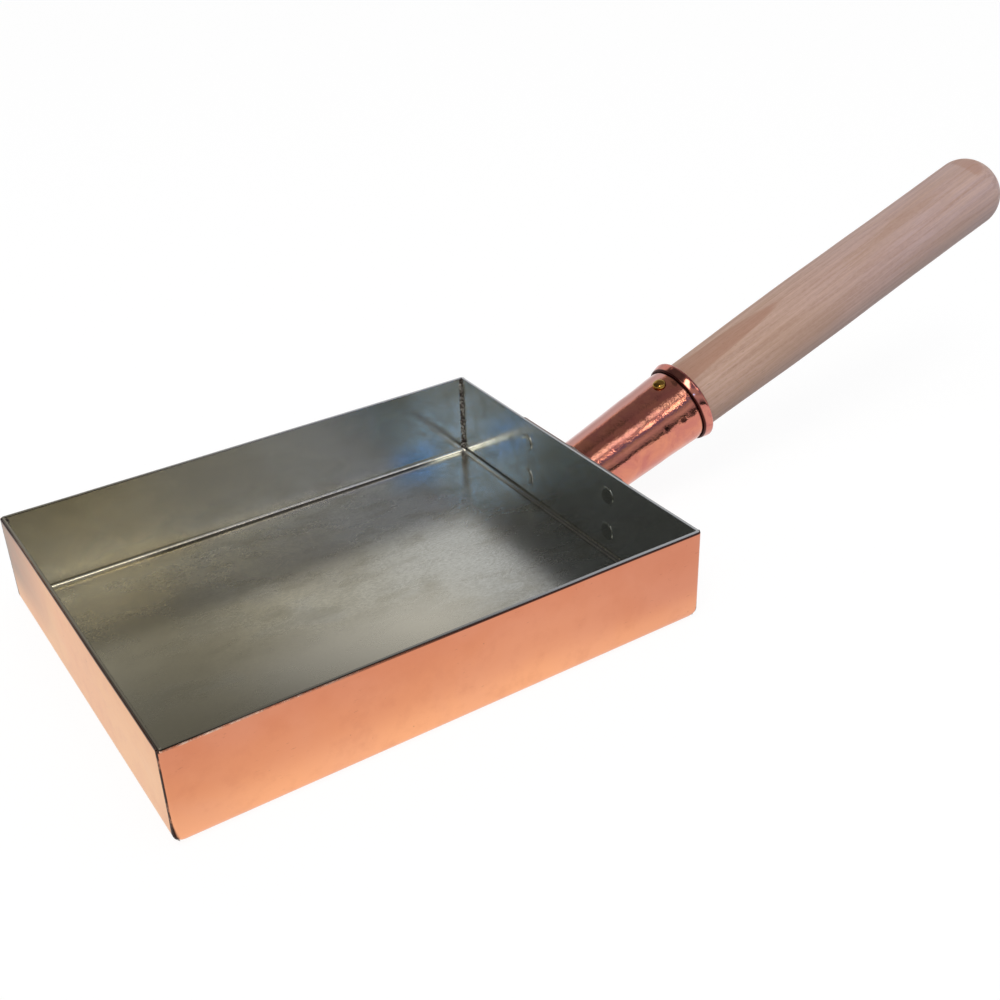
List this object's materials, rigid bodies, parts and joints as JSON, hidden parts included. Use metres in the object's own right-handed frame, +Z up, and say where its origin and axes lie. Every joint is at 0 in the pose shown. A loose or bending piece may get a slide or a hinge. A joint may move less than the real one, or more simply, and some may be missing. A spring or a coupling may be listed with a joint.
{
  "type": "tamagoyaki pan",
  "caption": "Rectangular copper pan for rolled omelettes, tinned inside, with a round wooden handle held in a tapered copper socket on a riveted plate.",
  "frame": {"origin": "centre of the pan's flat underside, midway between the outsides of its walls", "axes": "+X towards the handle, +Y to the left of someone looking along +X, +Z up from the underside"},
  "size_m": [0.4096, 0.15, 0.1043],
  "materials": {
    "satin_copper": "satin copper sheet, faintly brushed lengthwise",
    "wiped_tin": "hand-wiped tin, soft grey with cloudy wipe marks",
    "braze": "dark brazed filler, slightly rough",
    "polished_copper": "polished copper with light hammer marks",
    "rivet_copper": "copper rivet, tinned on its head inside the pan",
    "plain_wood": "unvarnished pale wood, straight grain",
    "nail_brass": "polished brass"
  },
  "bodies": {
    "root": {"pan_body": "satin_copper", "tin_lining": "wiped_tin", "seam_front_left": "braze", "seam_front_right": "braze", "seam_rear_left": "braze", "seam_rear_right": "braze", "handle_flange": "polished_copper", "rivet_upper_left": "rivet_copper", "rivet_upper_right": "rivet_copper", "rivet_lower_left": "rivet_copper", "rivet_lower_right": "rivet_copper", "handle_socket": "polished_copper", "socket_braze": "braze", "socket_collar": "polished_copper", "wood_handle": "plain_wood", "handle_nail": "nail_brass"}
  },
  "joints": []
}
